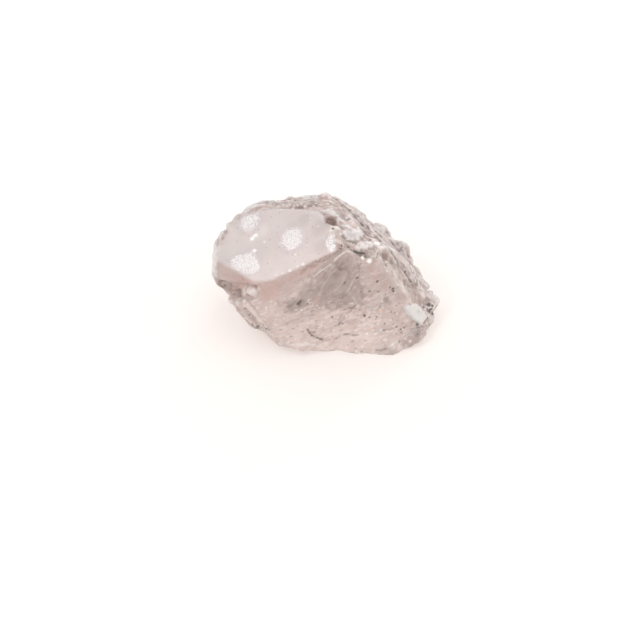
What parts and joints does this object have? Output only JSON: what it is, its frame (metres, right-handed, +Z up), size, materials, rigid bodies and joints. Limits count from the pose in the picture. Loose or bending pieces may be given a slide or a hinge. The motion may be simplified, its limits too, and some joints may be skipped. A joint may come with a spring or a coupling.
{
  "type": "rough morganite crystal",
  "caption": "Loose rough gem crystal with one smooth bevelled end face, a broad included front, a stepped broken side and small grown-in crystals; rests on its flat broken base.",
  "frame": {"origin": "on the resting face, under the middle of the stone's box", "axes": "+X along the stone's length, towards its fractured end; +Z up, away from the resting face; -Y towards the broad front"},
  "size_m": [0.02, 0.0132, 0.0115],
  "materials": {
    "crystal": "cloudy pale pink translucent crystal with dark specks and frosted patches, mostly smooth and glossy"
  },
  "bodies": {
    "root": {"morganite_crystal": "crystal"}
  },
  "joints": []
}
